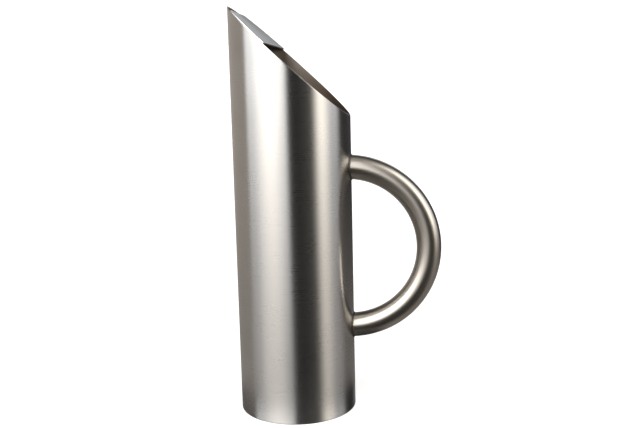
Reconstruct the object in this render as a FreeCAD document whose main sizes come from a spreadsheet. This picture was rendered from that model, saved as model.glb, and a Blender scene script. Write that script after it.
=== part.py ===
import FreeCAD, Part
import Sketcher
import os

# Slant-cut water pitcher: a thin round wall with a slanted mouth, a flat ice guard
# lying on the front of the rim, a recessed base and a half-circle tube handle.
# Frame: origin at the centre of the standing ring, +Z up, spout towards -X, handle
# towards +X. Sizes are in millimetres.

DRIVING_SIZES = [
    ("body_diameter", 92.0),
    ("wall_thickness", 1.0),
    ("spout_height", 316.0),
    ("low_rim_height", 231.5),
    ("foot_chamfer", 0.3),
    ("base_recess", 3.0),
    ("base_thickness", 1.2),
    ("base_bead", 1.2),
    ("guard_thickness", 1.2),
    ("guard_front_setback", 6.4),
    ("guard_rear_setback", 34.2),
    ("guard_bead", 0.9),
    ("guard_bead_inset", 2.0),
    ("handle_reach", 42.5),
    ("handle_height", 129.0),
    ("handle_bend_radius", 63.0),
    ("handle_tube_diameter", 19.0),
    ("handle_wall", 1.2),
    ("handle_bead", 1.2),
    ("cut_overrun", 5.0),
]

# Formulas that several sub-parts share, in the sheet's names. The mouth is one flat
# cut from the spout's tip down to the low side of the rim.
OUTER_RADIUS = "(dims.body_diameter / 2)"
INNER_RADIUS = "(dims.body_diameter / 2 - dims.wall_thickness)"
MOUTH_SLOPE = "((dims.spout_height - dims.low_rim_height) / dims.body_diameter)"
MOUTH_TILT = f"atan({MOUTH_SLOPE})"
MOUTH_MIDDLE = "((dims.spout_height + dims.low_rim_height) / 2)"
GUARD_FRONT_X = "(dims.guard_front_setback - dims.body_diameter / 2)"
GUARD_REAR_X = "(dims.guard_rear_setback - dims.body_diameter / 2)"
TUBE_RADIUS = "(dims.handle_tube_diameter / 2)"

# The stub of wall that a handle weld is shaped against, centred on its root.
STUB_HEIGHT = "(4 * dims.handle_tube_diameter)"

FULL_TURN = "360 deg"
HALF_TURN = "180 deg"
QUARTER_TURN = "90 deg"
CENTRE = FreeCAD.Vector(0, 0, 0)
X_AXIS = FreeCAD.Vector(1, 0, 0)
Y_AXIS = FreeCAD.Vector(0, 1, 0)
Z_AXIS = FreeCAD.Vector(0, 0, 1)

# How close a point has to be to count as on a surface, and how many points of an edge
# are tried.
NEAR = 0.001
EDGE_POINTS = 7

doc = FreeCAD.newDocument("water_pitcher")


def make_sheet():
    """The sheet called dims: one named cell for each driving size."""
    sheet = doc.addObject("Spreadsheet::Sheet", "dims")
    for row, (name, value) in enumerate(DRIVING_SIZES, start=1):
        sheet.set(f"A{row}", name)
        sheet.set(f"B{row}", str(value))
        sheet.setAlias(f"B{row}", name)
    doc.recompute()


def value_of(formula):
    """A formula's value, in millimetres or degrees."""
    found = doc.getObject("dims").evalExpression(formula)
    return float(getattr(found, "Value", found))


def drive(thing, **formulas):
    """Bind properties to formulas. A double underscore stands for a dot in a path."""
    for path, formula in formulas.items():
        thing.setExpression(path.replace("__", "."), formula)


def new_object(kind, label, **formulas):
    thing = doc.addObject(kind, label)
    thing.Label = label
    drive(thing, **formulas)
    return thing


def new_body(label, **formulas):
    return new_object("PartDesign::Body", label, **formulas)


def new_feature(body, kind, name, **formulas):
    feature = body.newObject(kind, name)
    drive(feature, **formulas)
    return feature


def new_feature_on(body, sketch, kind, name, **formulas):
    """A feature whose profile is a sketch."""
    feature = new_feature(body, kind, name, **formulas)
    feature.Profile = sketch
    return feature


def new_sketch(body, name, plane_role):
    """An empty sketch on one of the body's own origin planes."""
    plane = next(f for f in body.Origin.OriginFeatures if f.Role == plane_role)
    sketch = body.newObject("Sketcher::SketchObject", name)
    sketch.AttachmentSupport = [(plane, "")]
    sketch.MapMode = "FlatFace"
    return sketch


def constrain(sketch, formula, kind, *points):
    """A dimension of the sketch that follows a formula."""
    number = sketch.addConstraint(Sketcher.Constraint(kind, *points, 1.0))
    sketch.setExpression(f"Constraints[{number}]", formula)


def add_circle(sketch, radius, centre_x="0"):
    """A circle centred on the sketch's horizontal axis."""
    start = Part.Circle(FreeCAD.Vector(value_of(centre_x), 0, 0), Z_AXIS, value_of(radius))
    circle = sketch.addGeometry(start, False)
    constrain(sketch, radius, "Radius", circle)
    constrain(sketch, centre_x, "DistanceX", -1, 1, circle, 3)
    sketch.addConstraint(Sketcher.Constraint("PointOnObject", circle, 3, -1))


def add_ellipse(sketch, half_length, half_width):
    """An ellipse about the sketch's origin, its long axis along the horizontal."""
    start = Part.Ellipse(
        FreeCAD.Vector(value_of(half_length), 0, 0),
        FreeCAD.Vector(0, value_of(half_width), 0),
        CENTRE,
    )
    ellipse = sketch.addGeometry(start, False)
    sketch.exposeInternalGeometry(ellipse)
    long_axis, short_axis = ellipse + 1, ellipse + 2
    sketch.addConstraint(Sketcher.Constraint("Coincident", ellipse, 3, -1, 1))
    sketch.addConstraint(Sketcher.Constraint("Horizontal", long_axis))
    constrain(sketch, f"2 * {half_length}", "Distance", long_axis)
    constrain(sketch, f"2 * {half_width}", "Distance", short_axis)


def add_polygon(sketch, corners):
    """A closed outline through its corners, each a pair of formulas."""
    places = [FreeCAD.Vector(value_of(across), value_of(up), 0) for across, up in corners]
    lines = []
    for place, following in zip(places, places[1:] + places[:1]):
        lines.append(sketch.addGeometry(Part.LineSegment(place, following), False))
    for line, following in zip(lines, lines[1:] + lines[:1]):
        sketch.addConstraint(Sketcher.Constraint("Coincident", line, 2, following, 1))
    for line, (across, up) in zip(lines, corners):
        constrain(sketch, across, "DistanceX", -1, 1, line, 1)
        constrain(sketch, up, "DistanceY", -1, 1, line, 1)


def add_rectangle(sketch, left, right, half_height):
    """A rectangle centred on the sketch's horizontal axis."""
    below = f"-{half_height}"
    corners = [(left, below), (right, below), (right, half_height), (left, half_height)]
    add_polygon(sketch, corners)


def pad(body, sketch, name, length):
    return new_feature_on(body, sketch, "PartDesign::Pad", name, Length=length)


def cut_through(body, sketch, name):
    """Remove the sketch's outline from the body, all the way through both ways."""
    pocket = new_feature_on(body, sketch, "PartDesign::Pocket", name)
    pocket.Type = "ThroughAll"
    pocket.SideType = "Symmetric"
    return pocket


def edge_names(shape, lies_on):
    """The names of the edges that lie wholly where lies_on(point) is true."""
    names = []
    for number, edge in enumerate(shape.Edges, start=1):
        if all(lies_on(point) for point in edge.discretize(EDGE_POINTS)):
            names.append(f"Edge{number}")
    return names


def chamfer(body, base, name, size, lies_on):
    """Bevel the base feature's edges that lie where lies_on(point) is true."""
    doc.recompute()
    bevel = new_feature(body, "PartDesign::Chamfer", name, Size=size)
    bevel.Base = (base, edge_names(base.Shape, lies_on))
    doc.recompute()
    return bevel


def make_body_shell():
    """The wall: a thin round tube, cut off at a slant so that one side forms the spout."""
    body = new_body("body_shell")
    ring = new_sketch(body, "wall_ring", "XY_Plane")
    add_circle(ring, OUTER_RADIUS)
    add_circle(ring, INNER_RADIUS)
    wall = pad(body, ring, "wall", "dims.spout_height")

    outside = f"({OUTER_RADIUS} + dims.cut_overrun)"
    above = f"(dims.spout_height + dims.cut_overrun * {MOUTH_SLOPE})"
    below = f"(dims.low_rim_height - dims.cut_overrun * {MOUTH_SLOPE})"
    slant = new_sketch(body, "mouth_outline", "XZ_Plane")
    add_polygon(slant, [(f"-{outside}", above), (outside, below), (outside, above)])
    mouth = cut_through(body, slant, "mouth_cut")

    outer = value_of(OUTER_RADIUS)

    def on_foot(point):
        from_axis = (point.x**2 + point.y**2) ** 0.5
        return abs(point.z) < NEAR and abs(from_axis - outer) < NEAR

    chamfer(body, mouth, "foot_bevel", "dims.foot_chamfer", on_foot)
    return body


def make_base_disc():
    """The bottom: a flat disc inside the wall, raised above the standing ring."""
    body = new_body("base_disc", Placement__Base__z="dims.base_recess")
    outline = new_sketch(body, "disc_outline", "XY_Plane")
    add_circle(outline, INNER_RADIUS)
    pad(body, outline, "disc", "dims.base_thickness")
    return body


def make_base_weld():
    """The bead that seals the disc to the wall, in the corner under the disc."""
    body = new_body("base_weld", Placement__Base__z="dims.base_recess")
    section = new_sketch(body, "bead_section", "XZ_Plane")
    inner_edge = f"({INNER_RADIUS} - dims.base_bead)"
    corners = [(INNER_RADIUS, "0"), (inner_edge, "0"), (INNER_RADIUS, "-dims.base_bead")]
    add_polygon(section, corners)
    bead = new_feature_on(body, section, "PartDesign::Revolution", "bead", Angle=FULL_TURN)
    bead.ReferenceAxis = (section, ["V_Axis"])
    return body


def tilt_onto_mouth(thing):
    """Lay a thing's own XY plane on the slanted mouth, its origin on the wall's axis."""
    tilt = FreeCAD.Rotation(Y_AXIS, value_of(MOUTH_TILT))
    thing.Placement = FreeCAD.Placement(CENTRE, tilt)
    drive(thing, Placement__Base__z=MOUTH_MIDDLE, Placement__Rotation__Angle=MOUTH_TILT)


def make_ice_guard():
    """A flat plate on the front of the rim, drawn flat and then tilted onto the mouth."""
    body = new_body("ice_guard")
    tilt_onto_mouth(body)
    along = f"cos({MOUTH_TILT})"

    outline = new_sketch(body, "plate_outline", "XY_Plane")
    add_ellipse(outline, f"({OUTER_RADIUS} / {along})", OUTER_RADIUS)
    pad(body, outline, "plate", "dims.guard_thickness")

    far = f"({OUTER_RADIUS} + dims.cut_overrun)"
    trims = [("front", f"-{far}", GUARD_FRONT_X), ("rear", GUARD_REAR_X, far)]
    for name, left, right in trims:
        waste = new_sketch(body, f"{name}_waste", "XY_Plane")
        add_rectangle(waste, f"({left}) / {along}", f"({right}) / {along}", far)
        cut_through(body, waste, f"{name}_trim")
    return body


def make_guard_weld(label, guard, from_angle, to_angle):
    """A bead in the corner under the plate, along the inside of the wall."""
    corner = new_object(
        "Part::Ellipse",
        f"{label}_path",
        MajorRadius=f"{INNER_RADIUS} / cos({MOUTH_TILT})",
        MinorRadius=INNER_RADIUS,
        Angle1=from_angle,
        Angle2=to_angle,
    )
    tilt_onto_mouth(corner)

    section = new_object("Part::Circle", f"{label}_section", Radius="dims.guard_bead")
    section.AttachmentSupport = [(corner, "Edge1")]
    section.MapMode = "NormalToEdge"

    rod = new_object("Part::Sweep", f"{label}_rod")
    rod.Sections = [section]
    rod.Spine = (corner, ["Edge1"])
    rod.Solid = True

    bore = new_object(
        "Part::Cylinder", f"{label}_bore", Radius=INNER_RADIUS, Height="dims.spout_height"
    )
    inside = new_object("Part::Common", f"{label}_inside")
    inside.Base = rod
    inside.Tool = bore
    bead = new_object("Part::Cut", label)
    bead.Base = inside
    bead.Tool = guard
    return bead


def make_guard_welds(guard):
    """One bead on each side of the mouth, stopping a little short of the plate's ends."""
    front = f"acos(({GUARD_FRONT_X} + dims.guard_bead_inset) / {INNER_RADIUS})"
    rear = f"acos(({GUARD_REAR_X} - dims.guard_bead_inset) / {INNER_RADIUS})"
    left = make_guard_weld(
        "guard_weld_left", guard, f"{FULL_TURN} - {front}", f"{FULL_TURN} - {rear}"
    )
    right = make_guard_weld("guard_weld_right", guard, rear, front)
    return [left, right]


def new_handle_body(label):
    """A body whose own origin is the middle of the handle's bend."""
    return new_body(
        label,
        Placement__Base__x="dims.handle_reach",
        Placement__Base__z="dims.handle_height",
    )


def make_handle_tube():
    """A hollow tube bent to a half circle, with its two ends shaped to the wall."""
    body = new_handle_body("handle_tube")
    section = new_sketch(body, "tube_section", "XY_Plane")
    add_circle(section, TUBE_RADIUS, "dims.handle_bend_radius")
    add_circle(section, f"({TUBE_RADIUS} - dims.handle_wall)", "dims.handle_bend_radius")
    bend = new_feature_on(body, section, "PartDesign::Revolution", "bend", Angle=HALF_TURN)
    bend.ReferenceAxis = (section, ["V_Axis"])
    bend.Midplane = True

    wall = new_sketch(body, "wall_outline", "XY_Plane")
    add_circle(wall, OUTER_RADIUS, "-dims.handle_reach")
    cut_through(body, wall, "end_shaping")
    return body


def make_handle_weld(label, side):
    """The bead round one root of the handle. side is 1 for the upper root, -1 for the lower.

    The tube and the wall are joined, the corner between them is filled with a bevel,
    and then both are taken away, which leaves the bead alone.
    """
    body = new_handle_body(label)
    upright = FreeCAD.Rotation(X_AXIS, side * value_of(QUARTER_TURN))
    tube_sizes = {
        "Radius1": "dims.handle_bend_radius",
        "Radius2": TUBE_RADIUS,
        "Angle3": QUARTER_TURN,
    }
    wall_sizes = {
        "Radius": OUTER_RADIUS,
        "Height": STUB_HEIGHT,
        "Placement__Base__x": "-dims.handle_reach",
        "Placement__Base__z": f"{side} * dims.handle_bend_radius - {STUB_HEIGHT} / 2",
    }
    tube = new_feature(body, "PartDesign::AdditiveTorus", "tube", **tube_sizes)
    tube.Placement = FreeCAD.Placement(CENTRE, upright)
    joined = new_feature(body, "PartDesign::AdditiveCylinder", "wall", **wall_sizes)

    reach, outer = value_of("dims.handle_reach"), value_of(OUTER_RADIUS)
    bend, tube_radius = value_of("dims.handle_bend_radius"), value_of(TUBE_RADIUS)

    def in_corner(point):
        from_axis = ((point.x + reach) ** 2 + point.y**2) ** 0.5
        from_bend = (point.x**2 + point.z**2) ** 0.5 - bend
        from_centreline = (from_bend**2 + point.y**2) ** 0.5
        return abs(from_axis - outer) < NEAR and abs(from_centreline - tube_radius) < NEAR

    chamfer(body, joined, "bead", "dims.handle_bead", in_corner)
    new_feature(body, "PartDesign::SubtractiveCylinder", "without_wall", **wall_sizes)
    taken = new_feature(body, "PartDesign::SubtractiveTorus", "without_tube", **tube_sizes)
    taken.Placement = FreeCAD.Placement(CENTRE, upright)
    return body


def find_faults(pieces):
    """Every object that failed to compute, and every piece without one sound solid."""
    faults = []
    for thing in doc.Objects:
        if "Invalid" in thing.State or "Error" in thing.State:
            faults.append(f"{thing.Label}: {thing.State}")
    for piece in pieces:
        shape = piece.Shape
        if shape.isNull() or not shape.isValid() or len(shape.Solids) != 1:
            faults.append(f"{piece.Label}: not one sound solid")
    return faults


def main():
    make_sheet()
    guard = make_ice_guard()
    pieces = [make_body_shell(), make_base_disc(), make_base_weld(), guard]
    pieces += make_guard_welds(guard)
    pieces.append(make_handle_tube())
    pieces.append(make_handle_weld("upper_handle_weld", 1))
    pieces.append(make_handle_weld("lower_handle_weld", -1))
    doc.recompute()

    faults = find_faults(pieces)
    if faults:
        raise RuntimeError("; ".join(faults))

    os.makedirs("parts", exist_ok=True)
    for piece in pieces:
        piece.Shape.exportStep(f"parts/{piece.Label}.step")
        box = piece.Shape.BoundBox
        print(
            f"{piece.Label}: {piece.Shape.Volume:.1f} mm3, "
            f"x {box.XMin:.2f} to {box.XMax:.2f}, y {box.YMin:.2f} to {box.YMax:.2f}, "
            f"z {box.ZMin:.2f} to {box.ZMax:.2f}"
        )


main()
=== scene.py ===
import math

import bmesh
import bpy
from mathutils import Matrix, Vector


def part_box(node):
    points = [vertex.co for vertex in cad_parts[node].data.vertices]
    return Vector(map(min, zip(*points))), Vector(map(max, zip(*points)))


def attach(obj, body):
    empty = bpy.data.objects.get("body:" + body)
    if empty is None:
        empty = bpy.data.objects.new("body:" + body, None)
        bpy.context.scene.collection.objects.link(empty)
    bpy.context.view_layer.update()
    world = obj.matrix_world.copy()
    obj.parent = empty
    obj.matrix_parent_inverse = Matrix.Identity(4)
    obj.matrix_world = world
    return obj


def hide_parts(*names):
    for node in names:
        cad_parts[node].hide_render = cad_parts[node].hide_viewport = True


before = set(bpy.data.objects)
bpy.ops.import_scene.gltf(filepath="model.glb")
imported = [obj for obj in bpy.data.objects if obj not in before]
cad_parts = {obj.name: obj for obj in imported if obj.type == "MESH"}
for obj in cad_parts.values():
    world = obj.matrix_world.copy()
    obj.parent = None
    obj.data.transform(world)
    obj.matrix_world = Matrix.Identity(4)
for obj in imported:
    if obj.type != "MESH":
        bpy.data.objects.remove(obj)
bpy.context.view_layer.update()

# Brushed steel pitcher with a slant-cut mouth, an ice guard and a half-circle handle.
# Metres throughout. +Z is up, the spout points to -X and the handle to +X.

# ---------------------------------------------------------------- sizes from the frame

shell_low, shell_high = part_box("body_shell")
disc_low, disc_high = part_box("base_disc")
guard_low, guard_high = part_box("ice_guard")
tube_low, tube_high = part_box("handle_tube")

OUTER_RADIUS = shell_high.y
INNER_RADIUS = disc_high.y
SPOUT_HEIGHT = shell_high.z
LOW_RIM_HEIGHT = max(
    vertex.co.z
    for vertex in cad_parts["body_shell"].data.vertices
    if vertex.co.x > 0.999 * OUTER_RADIUS
)
MOUTH_SLOPE = (SPOUT_HEIGHT - LOW_RIM_HEIGHT) / (2 * OUTER_RADIUS)
MOUTH_TILT = math.atan(MOUTH_SLOPE)
MOUTH_MIDDLE = (SPOUT_HEIGHT + LOW_RIM_HEIGHT) / 2

GUARD_THICKNESS = 0.0012
GUARD_FRONT_X = guard_low.x
GUARD_REAR_X = guard_high.x - GUARD_THICKNESS * math.sin(MOUTH_TILT)

TUBE_RADIUS = tube_high.y
TUBE_WALL = 0.0012
BEND_OUTSIDE = (tube_high.z - tube_low.z) / 2
BEND_RADIUS = BEND_OUTSIDE - TUBE_RADIUS
BEND_X = tube_high.x - BEND_OUTSIDE
BEND_Z = (tube_high.z + tube_low.z) / 2

# A face of the wall whose middle is nearer to the axis than this is on the inside.
INSIDE_LIMIT = (OUTER_RADIUS + 3 * INNER_RADIUS) / 4

# How far each edge is softened.
RIM_SOFTENING = 0.00015
FOOT_SOFTENING = 0.0004
GUARD_SOFTENING = 0.0004
DISC_SOFTENING = 0.0003

# How fine the meshes are.
CORNER_STEPS = 4
WALL_SEGMENTS = 256
WALL_ROWS = 24
DISC_ROWS = 30
GUARD_ROWS = 40
GUARD_COLUMNS = 20
TUBE_SEGMENTS = 72
TUBE_STATIONS = 144
BEAD_STEPS = 8

# The disc's rings run from just off its centre to just short of its edge.
DISC_CENTRE_HOLE = 0.0002
DISC_EDGE_BAND = 0.001

# Each weld bead's size along the two faces that it joins, the length of one pool of
# metal, and how deep the ripple between two pools is.
BASE_BEAD = 0.0012
GUARD_BEAD = 0.0009
HANDLE_BEAD = 0.0011
POOL_LENGTH = 0.0011
BEAD_RIPPLE = 0.00012
HANDLE_BEAD_RIPPLE = 0.00003
GUARD_BEAD_INSET = 0.002

FULL_TURN = 2 * math.pi


# ---------------------------------------------------------------- mesh helpers


def spread(start, end, steps):
    """steps + 1 evenly spaced numbers from start to end."""
    return [start + (end - start) * step / steps for step in range(steps + 1)]


def softened(before, corner, after, size):
    """Points along a small curve that replaces the corner between two straight sides."""
    toward_before = (before - corner).normalized() * size
    toward_after = (after - corner).normalized() * size
    points = []
    for t in spread(0, 1, CORNER_STEPS):
        points.append(corner + toward_before * (1 - t) ** 2 + toward_after * t**2)
    return points


def new_piece(name, vertices, faces, uvs, grain, slot, nodes):
    """A mesh piece on the root body that stands for some CAD nodes.

    uvs holds one pair for each corner of each face. grain holds one vector for each
    vertex: its last number runs across the brush lines, the others along them.
    """
    mesh = bpy.data.meshes.new(name)
    mesh.from_pydata(vertices, [], faces)
    uv_layer = mesh.uv_layers.new(name="brushing")
    for loop, uv in enumerate(uvs):
        uv_layer.data[loop].uv = uv
    attribute = mesh.attributes.new("grain", "FLOAT_VECTOR", "POINT")
    for index, vector in enumerate(grain):
        attribute.data[index].vector = vector
    shape = bmesh.new()
    shape.from_mesh(mesh)
    bmesh.ops.recalc_face_normals(shape, faces=shape.faces)
    shape.to_mesh(mesh)
    shape.free()
    mesh.shade_smooth()
    mesh.materials.append(FINISHES[slot])
    piece = bpy.data.objects.new(name, mesh)
    bpy.context.scene.collection.objects.link(piece)
    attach(piece, "root")
    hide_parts(*nodes)
    return piece


def new_loft(
    name, rings, slot, nodes, across, around, lines=None, closed_along=False, capped=False
):
    """A skin through rings of points. Every ring is closed and has the same count.

    across holds each point's coordinate across the brush lines, as a length on the
    skin, and around the coordinate along them, from 0 to once round. lines holds
    each point's place among the brush lines, where that differs from across.
    """
    count = len(rings[0])
    vertices = [point for ring in rings for point in ring]
    reach = around[-1] / FULL_TURN
    grain = []
    for places in lines or across:
        for place, turn in zip(places, around):
            angle = turn / reach
            grain.append((reach * math.cos(angle), reach * math.sin(angle), place))
    faces = []
    uvs = []
    strips = len(rings) if closed_along else len(rings) - 1
    for ring in range(strips):
        following = (ring + 1) % len(rings)
        for point in range(count):
            beside = (point + 1) % count
            faces.append(
                (
                    ring * count + point,
                    ring * count + beside,
                    following * count + beside,
                    following * count + point,
                )
            )
            uvs += [
                (across[ring][point], around[point]),
                (across[ring][beside], around[point + 1]),
                (across[following][beside], around[point + 1]),
                (across[following][point], around[point]),
            ]
    if capped:
        for ring, order in ((0, -1), (len(rings) - 1, 1)):
            corners = list(range(count))[::order]
            faces.append([ring * count + corner for corner in corners])
            uvs += [(across[ring][corner], around[corner]) for corner in corners]
    return new_piece(name, vertices, faces, uvs, grain, slot, nodes)


# ---------------------------------------------------------------- materials


# Noise for the finish: cells per metre along and across the brush lines, and detail.
FINE_GROOVES = (40.0, 5200.0, 3.0)
BROAD_STREAKS = (14.0, 900.0, 4.0)
HANDLING_MARKS = (45.0, 45.0, 5.0)
MARK_STRENGTH = 0.06
ROUGHNESS_CHANGE = 0.01


def add_node(tree, kind, inputs=None, **settings):
    """A shader node, with its settings and its unlinked inputs."""
    node = tree.nodes.new(kind)
    for name, value in settings.items():
        setattr(node, name, value)
    for socket, value in (inputs or {}).items():
        if hasattr(value, "is_output"):
            tree.links.new(value, node.inputs[socket])
        else:
            node.inputs[socket].default_value = value
    return node


def math_node(tree, operation, first, second=0.0):
    return add_node(tree, "ShaderNodeMath", {0: first, 1: second}, operation=operation).outputs[0]


def streaks(tree, coordinates, along, across, detail):
    """Noise drawn out along the brush lines: cells per metre along and across them."""
    scaled = add_node(
        tree,
        "ShaderNodeVectorMath",
        {0: coordinates, 1: (along, along, across)},
        operation="MULTIPLY",
    )
    noise = add_node(
        tree,
        "ShaderNodeTexNoise",
        {"Vector": scaled.outputs[0], "Scale": 1.0, "Detail": detail, "Roughness": 0.6},
    )
    return noise.outputs["Fac"]


def remapped(tree, value, low, high, spread_of=0.25):
    """A noise value about 0.5 turned into a value from low to high."""
    node = add_node(
        tree,
        "ShaderNodeMapRange",
        {
            "Value": value,
            "From Min": 0.5 - spread_of,
            "From Max": 0.5 + spread_of,
            "To Min": low,
            "To Max": high,
        },
    )
    return node.outputs[0]


def brushed_steel(name, colour, roughness, anisotropy, groove_depth):
    """Steel brushed in one direction, with streaks, fine grooves and faint handling marks."""
    material = bpy.data.materials.new(name)
    material.use_nodes = True
    tree = material.node_tree
    tree.nodes.clear()

    grain = add_node(tree, "ShaderNodeAttribute", attribute_name="grain").outputs["Vector"]
    fine = streaks(tree, grain, *FINE_GROOVES)
    coarse = streaks(tree, grain, *BROAD_STREAKS)
    cloud = streaks(tree, grain, *HANDLING_MARKS)

    shade = remapped(tree, coarse, 0.99, 1.005)
    marks = remapped(tree, cloud, 1.0 - MARK_STRENGTH, 1.0 + MARK_STRENGTH / 3)
    brightness = math_node(tree, "MULTIPLY", shade, marks)
    tinted = add_node(
        tree,
        "ShaderNodeVectorMath",
        {0: tuple(colour), 3: brightness},
        operation="SCALE",
    )
    rough = math_node(
        tree,
        "ADD",
        remapped(tree, fine, roughness - ROUGHNESS_CHANGE, roughness + ROUGHNESS_CHANGE),
        remapped(tree, cloud, ROUGHNESS_CHANGE, -ROUGHNESS_CHANGE),
    )
    height = math_node(
        tree,
        "ADD",
        math_node(tree, "MULTIPLY", fine, 0.6),
        math_node(tree, "MULTIPLY", coarse, 0.4),
    )
    bump = add_node(
        tree,
        "ShaderNodeBump",
        {"Strength": 1.0, "Distance": groove_depth, "Height": height},
    )
    tangent = add_node(tree, "ShaderNodeTangent", direction_type="UV_MAP", uv_map="brushing")
    shader = add_node(
        tree,
        "ShaderNodeBsdfPrincipled",
        {
            "Base Color": tinted.outputs[0],
            "Metallic": 1.0,
            "Roughness": rough,
            "Anisotropic": anisotropy,
            "Normal": bump.outputs[0],
            "Tangent": tangent.outputs[0],
        },
    )
    output = add_node(tree, "ShaderNodeOutputMaterial")
    tree.links.new(shader.outputs[0], output.inputs[0])
    return material


# The finish of each material slot: colour, roughness, anisotropy and groove depth.
FINISHES = {
    "wall_steel": brushed_steel("wall", (0.60, 0.585, 0.565), 0.28, 0.93, 0.0000003),
    "base_steel": brushed_steel("base", (0.58, 0.57, 0.55), 0.36, 0.80, 0.000003),
    "guard_steel": brushed_steel("guard", (0.60, 0.60, 0.60), 0.34, 0.80, 0.000001),
    # The handle's steel is set darker and warmer than the wall's: painted shade that tones down the
    # handle's highlights and warms its shading.
    "handle_steel": brushed_steel("handle", (0.44, 0.41, 0.37), 0.33, 0.55, 0.0000004),
    "weld_steel": brushed_steel("weld", (0.09, 0.08, 0.07), 0.45, 0.30, 0.000010),
}

# The inside of the wall has a duller, barely brushed finish. Its colour is darker and browner than
# the brushed outside, which is painted shade for the dim inside of the pitcher.
SHADED_INSIDE_STEEL = brushed_steel("inside", (0.38, 0.325, 0.28), 0.44, 0.10, 0.000001)


# ---------------------------------------------------------------- pieces


def rim_height(x):
    """The height of the slanted mouth's plane at x."""
    return MOUTH_MIDDLE - MOUTH_SLOPE * x


def wall_section(angle):
    """The closed outline of the wall at one angle round the axis, as (radius, height)."""
    cosine = math.cos(angle)
    corners = [
        Vector((OUTER_RADIUS, 0.0)),
        Vector((OUTER_RADIUS, rim_height(OUTER_RADIUS * cosine))),
        Vector((INNER_RADIUS, rim_height(INNER_RADIUS * cosine))),
        Vector((INNER_RADIUS, 0.0)),
    ]
    sizes = [FOOT_SOFTENING, RIM_SOFTENING, RIM_SOFTENING, FOOT_SOFTENING]
    outline = []
    for index, corner in enumerate(corners):
        before = corners[index - 1]
        after = corners[(index + 1) % len(corners)]
        outline += softened(before, corner, after, sizes[index])
        if index in (0, 2):
            start = outline[-1].y
            end = after.y + math.copysign(sizes[index], start - after.y)
            hold = math.copysign(2 * sizes[index], end - start)
            rows = spread(start + hold, end - hold, WALL_ROWS)
            outline += [Vector((corner.x, height)) for height in rows]
    return outline


def path_lengths(points):
    """How far along the line each point lies."""
    lengths = [0.0]
    for before, after in zip(points, points[1:]):
        lengths.append(lengths[-1] + (after - before).length)
    return lengths


def make_wall():
    """The thin round wall, with its slanted rim and its foot softened."""
    angles = [FULL_TURN * step / WALL_SEGMENTS for step in range(WALL_SEGMENTS)]
    sections = [wall_section(angle) for angle in angles]
    lengths = [path_lengths(section) for section in sections]
    rings, across, lines = [], [], []
    for row in range(len(sections[0])):
        ring = []
        for angle, section in zip(angles, sections):
            radius, height = section[row]
            ring.append((radius * math.cos(angle), radius * math.sin(angle), height))
        rings.append(ring)
        across.append([length[row] for length in lengths])
        lines.append([section[row].y + section[row].x for section in sections])
    around = spread(0, FULL_TURN * OUTER_RADIUS, WALL_SEGMENTS)
    wall = new_loft(
        "wall", rings, "wall_steel", ["body_shell"], across, around, lines, closed_along=True
    )
    # The inside faces get the darker, browner steel: painted shade inside the pitcher.
    wall.data.materials.append(SHADED_INSIDE_STEEL)
    for face in wall.data.polygons:
        if math.hypot(face.center.x, face.center.y) < INSIDE_LIMIT:
            face.material_index = 1


def make_base():
    """The flat disc inside the wall, brushed in circles on both faces."""
    low, high = disc_low.z, disc_high.z
    radii = spread(DISC_CENTRE_HOLE, INNER_RADIUS - DISC_EDGE_BAND, DISC_ROWS)
    top = [Vector((radius, high)) for radius in radii]
    corners = [
        (top[-1], Vector((INNER_RADIUS, high)), Vector((INNER_RADIUS, low))),
        (Vector((INNER_RADIUS, high)), Vector((INNER_RADIUS, low)), Vector((0.0, low))),
    ]
    edge = [point for corner in corners for point in softened(*corner, DISC_SOFTENING)]
    bottom = [Vector((point.x, low)) for point in reversed(top)]
    profile = top + edge + bottom
    angles = [FULL_TURN * step / WALL_SEGMENTS for step in range(WALL_SEGMENTS)]
    rings, across = [], []
    for place, length in zip(profile, path_lengths(profile)):
        rings.append(
            [(place.x * math.cos(angle), place.x * math.sin(angle), place.y) for angle in angles]
        )
        across.append([length] * WALL_SEGMENTS)
    around = spread(0, FULL_TURN * INNER_RADIUS, WALL_SEGMENTS)
    new_loft("base", rings, "base_steel", ["base_disc"], across, around, capped=True)


def on_mouth(along, sideways, above):
    """A point given along the mouth's slope from the axis, sideways and above its plane."""
    return Vector(
        (
            along * math.cos(MOUTH_TILT) + above * math.sin(MOUTH_TILT),
            sideways,
            MOUTH_MIDDLE - along * math.sin(MOUTH_TILT) + above * math.cos(MOUTH_TILT),
        )
    )


def guard_ring(along, drop):
    """The plate's outline across the mouth at one place, drawn in by drop all round."""
    from_axis = along * math.cos(MOUTH_TILT)
    half = math.sqrt(OUTER_RADIUS**2 - from_axis**2) - drop
    low, high = drop, GUARD_THICKNESS - drop
    sides = [(-half, low), (half, low), (half, high), (-half, high)]
    corners = [Vector(side) for side in sides]
    outline = []
    for index, corner in enumerate(corners):
        before = corners[index - 1]
        after = corners[(index + 1) % 4]
        outline += softened(before, corner, after, GUARD_SOFTENING)
        if index in (0, 2):
            reach = half - 2 * GUARD_SOFTENING
            sign = 1 if index == 0 else -1
            columns = spread(-reach, reach, GUARD_COLUMNS)
            outline += [Vector((sign * y, corner.y)) for y in columns]
    return outline


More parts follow.
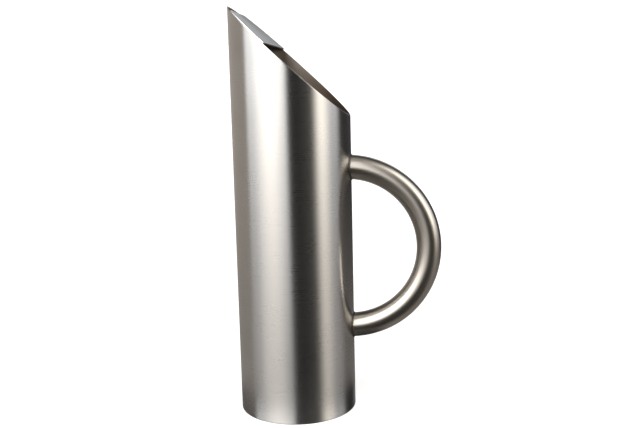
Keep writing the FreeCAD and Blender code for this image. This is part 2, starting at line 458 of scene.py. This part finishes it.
def make_guard():
    """The flat plate on the front of the rim, with every edge softened."""
    front = GUARD_FRONT_X / math.cos(MOUTH_TILT)
    rear = GUARD_REAR_X / math.cos(MOUTH_TILT)
    end = [
        (GUARD_SOFTENING * t**2, GUARD_SOFTENING * (1 - t) ** 2)
        for t in spread(0, 1, CORNER_STEPS)
    ]
    stations = [(front + inset, drop) for inset, drop in end]
    stations += [
        (along, 0.0)
        for along in spread(front + 2 * GUARD_SOFTENING, rear - 2 * GUARD_SOFTENING, GUARD_ROWS)
    ]
    stations += [(rear - inset, drop) for inset, drop in reversed(end)]
    rings, across = [], []
    for along, drop in stations:
        outline = guard_ring(along, drop)
        rings.append([on_mouth(along, y, z) for y, z in outline])
        across.append([along] * len(outline))
    around = path_lengths([Vector(point) for point in guard_ring(rear, 0.0)])
    around.append(around[-1] + GUARD_SOFTENING)
    new_loft("ice_guard_plate", rings, "guard_steel", ["ice_guard"], across, around, capped=True)


def tube_end(radius, section_angle):
    """The bend angle at which a skin of the handle tube meets the wall."""
    sideways = radius * math.sin(section_angle)
    reach = math.sqrt(OUTER_RADIUS**2 - sideways**2) - BEND_X
    return math.acos(reach / (BEND_RADIUS + radius * math.cos(section_angle)))


def on_tube(radius, section_angle, bend_angle):
    """A point on a skin of the tube: section angle 0 is outermost, bend angle 0 level."""
    from_bend = BEND_RADIUS + radius * math.cos(section_angle)
    return Vector(
        (
            BEND_X + from_bend * math.cos(bend_angle),
            -radius * math.sin(section_angle),
            BEND_Z + from_bend * math.sin(bend_angle),
        )
    )


def make_handle():
    """The bent hollow tube: an outer and an inner skin, both shaped to the wall's curve."""
    angles = [FULL_TURN * step / TUBE_SEGMENTS for step in range(TUBE_SEGMENTS)]
    skins = [(TUBE_RADIUS, 1), (TUBE_RADIUS - TUBE_WALL, -1)]
    rings, across = [], []
    for radius, direction in skins:
        ends = [tube_end(radius, angle) for angle in angles]
        for share in spread(-direction, direction, TUBE_STATIONS):
            bends = [share * end for end in ends]
            rings.append([on_tube(radius, angle, bend) for angle, bend in zip(angles, bends)])
            across.append([bend * BEND_RADIUS for bend in bends])
    around = spread(0, FULL_TURN * TUBE_RADIUS, TUBE_SEGMENTS)
    new_loft(
        "handle", rings, "handle_steel", ["handle_tube"], across, around, closed_along=True
    )


def new_bead(name, nodes, stations, closed, ripple_depth, bulge):
    """A weld bead in a corner, with the ripples of its pools.

    Each station is a corner point, the directions along the two faces, and a size.
    bulge is how far the bead's face stands out, as a share of its size, or falls in.
    """
    corners = [corner for corner, _, _, _ in stations]
    lengths = path_lengths(corners + corners[:1])
    steps = spread(0, 1, BEAD_STEPS)
    rings, across = [], []
    for (corner, along_first, along_second, size), length in zip(stations, lengths):
        pool = (length / POOL_LENGTH) % 1.0
        reach = size - ripple_depth * (1 - math.sqrt(1 - (pool - 0.5) ** 2))
        ring = [corner]
        for t in steps:
            crown = 1 + bulge * math.sin(math.pi * t)
            ring.append(corner + (along_first * (1 - t) + along_second * t) * reach * crown)
        rings.append(ring)
        across.append([length] * len(ring))
    around = spread(0, 3 * stations[0][3], len(rings[0]))
    new_loft(
        name, rings, "weld_steel", nodes, across, around, closed_along=closed, capped=not closed
    )


def make_base_bead():
    """The bead in the corner under the disc, all the way round."""
    count = 1536
    down = Vector((0, 0, -1))
    stations = []
    for step in range(count):
        angle = FULL_TURN * step / count
        inward = Vector((-math.cos(angle), -math.sin(angle), 0))
        corner = Vector((0, 0, disc_low.z)) - inward * INNER_RADIUS
        stations.append((corner, inward, down, BASE_BEAD))
    new_bead("base_bead", ["base_weld"], stations, True, BEAD_RIPPLE, 0.0)


def make_guard_bead(name, node, side):
    """The bead under the plate on one side: side is 1 for +Y and -1 for -Y."""
    count = 360
    first = math.acos((GUARD_REAR_X - GUARD_BEAD_INSET) / INNER_RADIUS)
    last = math.acos((GUARD_FRONT_X + GUARD_BEAD_INSET) / INNER_RADIUS)
    plate_normal = Vector((math.sin(MOUTH_TILT), 0, math.cos(MOUTH_TILT)))
    stations = []
    for share in spread(0, 1, count):
        angle = side * (first + (last - first) * share)
        x, y = INNER_RADIUS * math.cos(angle), INNER_RADIUS * math.sin(angle)
        corner = Vector((x, y, rim_height(x)))
        forward = Vector((-y, x, MOUTH_SLOPE * y))
        inward = plate_normal.cross(forward).normalized()
        if inward.dot(Vector((x, y, 0))) > 0:
            inward.negate()
        taper = min(1.0, 0.35 + 12 * min(share, 1 - share))
        stations.append((corner, inward, Vector((0, 0, -1)), GUARD_BEAD * taper))
    new_bead(name, [node], stations, False, BEAD_RIPPLE, 0.25)


def make_handle_bead(name, node, side):
    """The bead round one root of the handle: side is 1 for the upper root."""
    count = 720
    stations = []
    for step in range(count):
        angle = FULL_TURN * step / count
        nudge = FULL_TURN / count
        end = tube_end(TUBE_RADIUS, angle)
        corner = on_tube(TUBE_RADIUS, angle, side * end)
        following = on_tube(TUBE_RADIUS, angle + nudge, side * tube_end(TUBE_RADIUS, angle + nudge))
        along_tube = (on_tube(TUBE_RADIUS, angle, side * (end - nudge)) - corner).normalized()
        wall_normal = Vector((corner.x, corner.y, 0)).normalized()
        along_wall = wall_normal.cross(following - corner).normalized()
        if along_wall.dot(corner - on_tube(0.0, 0.0, side * end)) < 0:
            along_wall.negate()
        stations.append((corner, along_tube, along_wall, HANDLE_BEAD))
    new_bead(name, [node], stations, True, HANDLE_BEAD_RIPPLE, -0.15)


make_wall()
make_base()
make_guard()
make_handle()
make_base_bead()
make_guard_bead("guard_bead_left", "guard_weld_left", -1)
make_guard_bead("guard_bead_right", "guard_weld_right", 1)
make_handle_bead("upper_handle_bead", "upper_handle_weld", 1)
make_handle_bead("lower_handle_bead", "lower_handle_weld", -1)


# ---------------------------------------------------------------- studio

# The camera turns about an aim point on the axis, moved a little to the camera's
# right. The azimuth is from straight ahead (-Y) towards the handle.
CAMERA_AZIMUTH = math.radians(7.1)
CAMERA_ELEVATION = math.radians(8.6)
CAMERA_ROLL = math.radians(-1.35)
CAMERA_DISTANCE = 0.635
CAMERA_AIM_RIGHT = 0.0214
CAMERA_AIM_HEIGHT = 0.1552
CAMERA_LENS = 45.2
CAMERA_SENSOR = 36.0


def make_camera():
    """The camera, which looks past the pitcher's axis so that the handle is in view."""
    data = bpy.data.cameras.new("camera")
    data.lens = CAMERA_LENS
    data.sensor_width = CAMERA_SENSOR
    data.clip_start = 0.01
    data.clip_end = 50.0
    camera = bpy.data.objects.new("camera", data)
    bpy.context.scene.collection.objects.link(camera)
    back = Vector(
        (
            math.sin(CAMERA_AZIMUTH) * math.cos(CAMERA_ELEVATION),
            -math.cos(CAMERA_AZIMUTH) * math.cos(CAMERA_ELEVATION),
            math.sin(CAMERA_ELEVATION),
        )
    )
    level_right = Vector((math.cos(CAMERA_AZIMUTH), math.sin(CAMERA_AZIMUTH), 0.0))
    level_up = back.cross(level_right)
    right = level_right * math.cos(CAMERA_ROLL) + level_up * math.sin(CAMERA_ROLL)
    up = back.cross(right)
    aim = right * CAMERA_AIM_RIGHT + Vector((0.0, 0.0, CAMERA_AIM_HEIGHT))
    place = Matrix((right, up, back)).transposed().to_4x4()
    place.translation = aim + back * CAMERA_DISTANCE
    camera.matrix_world = place
    bpy.context.scene.camera = camera


# Soft light panels round the object: azimuth from the camera's side of the object and
# positive to the camera's right, elevation, half width, half height and softness of
# the edge, in degrees, then brightness and colour.
PANELS = {
    "left softbox": (-49, 32, 42, 29, 6, 3.15, (0.96, 0.975, 1.0)),
    "left lamp": (-42, 32, 20, 28, 20, 2.7, (1.0, 0.92, 0.80)),
    "right softbox": (77, 31, 27, 29, 9, 1.95, (0.96, 0.975, 1.0)),
    "right lamp": (63, 31, 12, 28, 12, 2.8, (1.0, 0.90, 0.74)),
    "right boom light": (42, 52, 18, 14, 10, 0.9, (1.0, 0.985, 0.97)),
    "back light": (160, 22, 14, 13, 8, 1.0, (0.95, 0.98, 1.0)),
    "left wall": (-132, 8, 44, 20, 12, 0.45, (1.0, 0.91, 0.82)),
    "front of table": (-48, -28, 24, 20, 8, 0.12, (1.0, 0.95, 0.90)),
    "table": (180, -36, 125, 20, 10, 0.30, (1.0, 0.93, 0.87)),
    "under table": (0, -90, 360, 32, 8, 0.36, (1.0, 0.93, 0.87)),
    "ceiling": (0, 90, 360, 22, 12, 0.40, (1.0, 0.95, 0.90)),
    "room": (0, 0, 360, 360, 1, 0.02, (1.0, 0.97, 0.95)),
}


def falloff(tree, value, half, softness):
    """1 inside half, smoothly down to 0 over the softness about it."""
    node = add_node(
        tree,
        "ShaderNodeMapRange",
        {
            "Value": value,
            "From Min": half - softness,
            "From Max": half + softness,
            "To Min": 1.0,
            "To Max": 0.0,
        },
        interpolation_type="SMOOTHSTEP",
    )
    return node.outputs[0]


def panel_light(tree, direction, azimuth, elevation, half_width, half_height, softness, glow, colour):
    """The light of one panel in one direction, as a colour."""
    yaw = CAMERA_AZIMUTH - math.pi / 2 + math.radians(azimuth)
    turned = add_node(
        tree,
        "ShaderNodeVectorRotate",
        {"Vector": direction, "Angle": -yaw},
        rotation_type="Z_AXIS",
    )
    parts = add_node(tree, "ShaderNodeSeparateXYZ", {0: turned.outputs[0]}).outputs
    sideways = math_node(tree, "ABSOLUTE", math_node(tree, "ARCTAN2", parts[1], parts[0]))
    height = math_node(tree, "ARCSINE", parts[2])
    offset = math_node(
        tree, "ABSOLUTE", math_node(tree, "SUBTRACT", height, math.radians(elevation))
    )
    soft = math.radians(softness)
    inside_width = falloff(tree, sideways, math.radians(half_width), soft)
    inside_height = falloff(tree, offset, math.radians(half_height), soft)
    mask = math_node(tree, "MULTIPLY", inside_width, inside_height)
    scaled = add_node(
        tree,
        "ShaderNodeVectorMath",
        {0: tuple(glow * channel for channel in colour), 3: mask},
        operation="SCALE",
    )
    return scaled.outputs[0]


def make_world():
    """Soft studio light as smooth panels in the surroundings."""
    world = bpy.data.worlds.new("studio")
    world.use_nodes = True
    tree = world.node_tree
    tree.nodes.clear()
    direction = add_node(tree, "ShaderNodeTexCoord").outputs["Generated"]
    total = None
    for settings in PANELS.values():
        light = panel_light(tree, direction, *settings)
        if total is None:
            total = light
        else:
            total = add_node(
                tree, "ShaderNodeVectorMath", {0: total, 1: light}, operation="ADD"
            ).outputs[0]
    background = add_node(tree, "ShaderNodeBackground", {"Color": total, "Strength": 1.0})
    output = add_node(tree, "ShaderNodeOutputWorld")
    tree.links.new(background.outputs[0], output.inputs[0])
    bpy.context.scene.world = world


def glossy_material(name):
    """A smooth dark lacquer."""
    material = bpy.data.materials.new(name)
    material.use_nodes = True
    shader = material.node_tree.nodes["Principled BSDF"]
    shader.inputs["Base Color"].default_value = (0.04, 0.04, 0.04, 1.0)
    shader.inputs["Roughness"].default_value = 0.12
    shader.inputs["IOR"].default_value = 1.6
    return material


def pale_material(name, glow):
    """Plain matt grey that glows enough to stay close to white."""
    material = bpy.data.materials.new(name)
    material.use_nodes = True
    shader = material.node_tree.nodes["Principled BSDF"]
    shader.inputs["Base Color"].default_value = (0.45, 0.45, 0.45, 1.0)
    shader.inputs["Roughness"].default_value = 0.9
    shader.inputs["Specular IOR Level"].default_value = 0.0
    shader.inputs["Emission Color"].default_value = (1.0, 1.0, 1.0, 1.0)
    shader.inputs["Emission Strength"].default_value = glow
    return material


def make_stage():
    """A round floor that runs up into a tall backdrop, seen by the camera alone."""
    floor_radius, cove_radius, wall_height, segments = 2.0, 1.0, 4.0, 96
    centre_radius = 0.02
    profile = [(radius, 0.0) for radius in spread(centre_radius, floor_radius, 12)]
    for angle in spread(0, math.pi / 2, 16)[1:]:
        reach = floor_radius + cove_radius * math.sin(angle)
        profile.append((reach, cove_radius * (1 - math.cos(angle))))
    profile.append((floor_radius + cove_radius, wall_height))
    vertices = []
    for radius, height in profile:
        for step in range(segments):
            angle = FULL_TURN * step / segments
            vertices.append((radius * math.cos(angle), radius * math.sin(angle), height))
    faces = [list(range(segments))]
    for row in range(len(profile) - 1):
        for step in range(segments):
            beside = (step + 1) % segments
            faces.append(
                (
                    row * segments + step,
                    row * segments + beside,
                    (row + 1) * segments + beside,
                    (row + 1) * segments + step,
                )
            )
    mesh = bpy.data.meshes.new("floor")
    mesh.from_pydata(vertices, [], faces)
    mesh.shade_smooth()
    mesh.materials.append(pale_material("floor", 0.74))
    floor = bpy.data.objects.new("floor", mesh)
    bpy.context.scene.collection.objects.link(floor)
    floor.visible_glossy = False
    floor.visible_diffuse = False
    floor.visible_shadow = False


def make_table_top():
    """A round glossy board under the pitcher, which only its lowest reflections show."""
    radius, depth, segments = 0.085, 0.0002, 96
    outline = [
        (radius * math.cos(angle), radius * math.sin(angle), -depth)
        for angle in spread(0, FULL_TURN, segments)[:-1]
    ]
    mesh = bpy.data.meshes.new("table_top")
    mesh.from_pydata(outline, [], [list(range(segments))])
    mesh.materials.append(glossy_material("table_top"))
    board = bpy.data.objects.new("table_top", mesh)
    bpy.context.scene.collection.objects.link(board)
    board.visible_camera = False
    board.visible_diffuse = False
    board.visible_shadow = False


make_camera()
make_world()
make_stage()
make_table_top()
bpy.context.scene.view_settings.view_transform = "Standard"
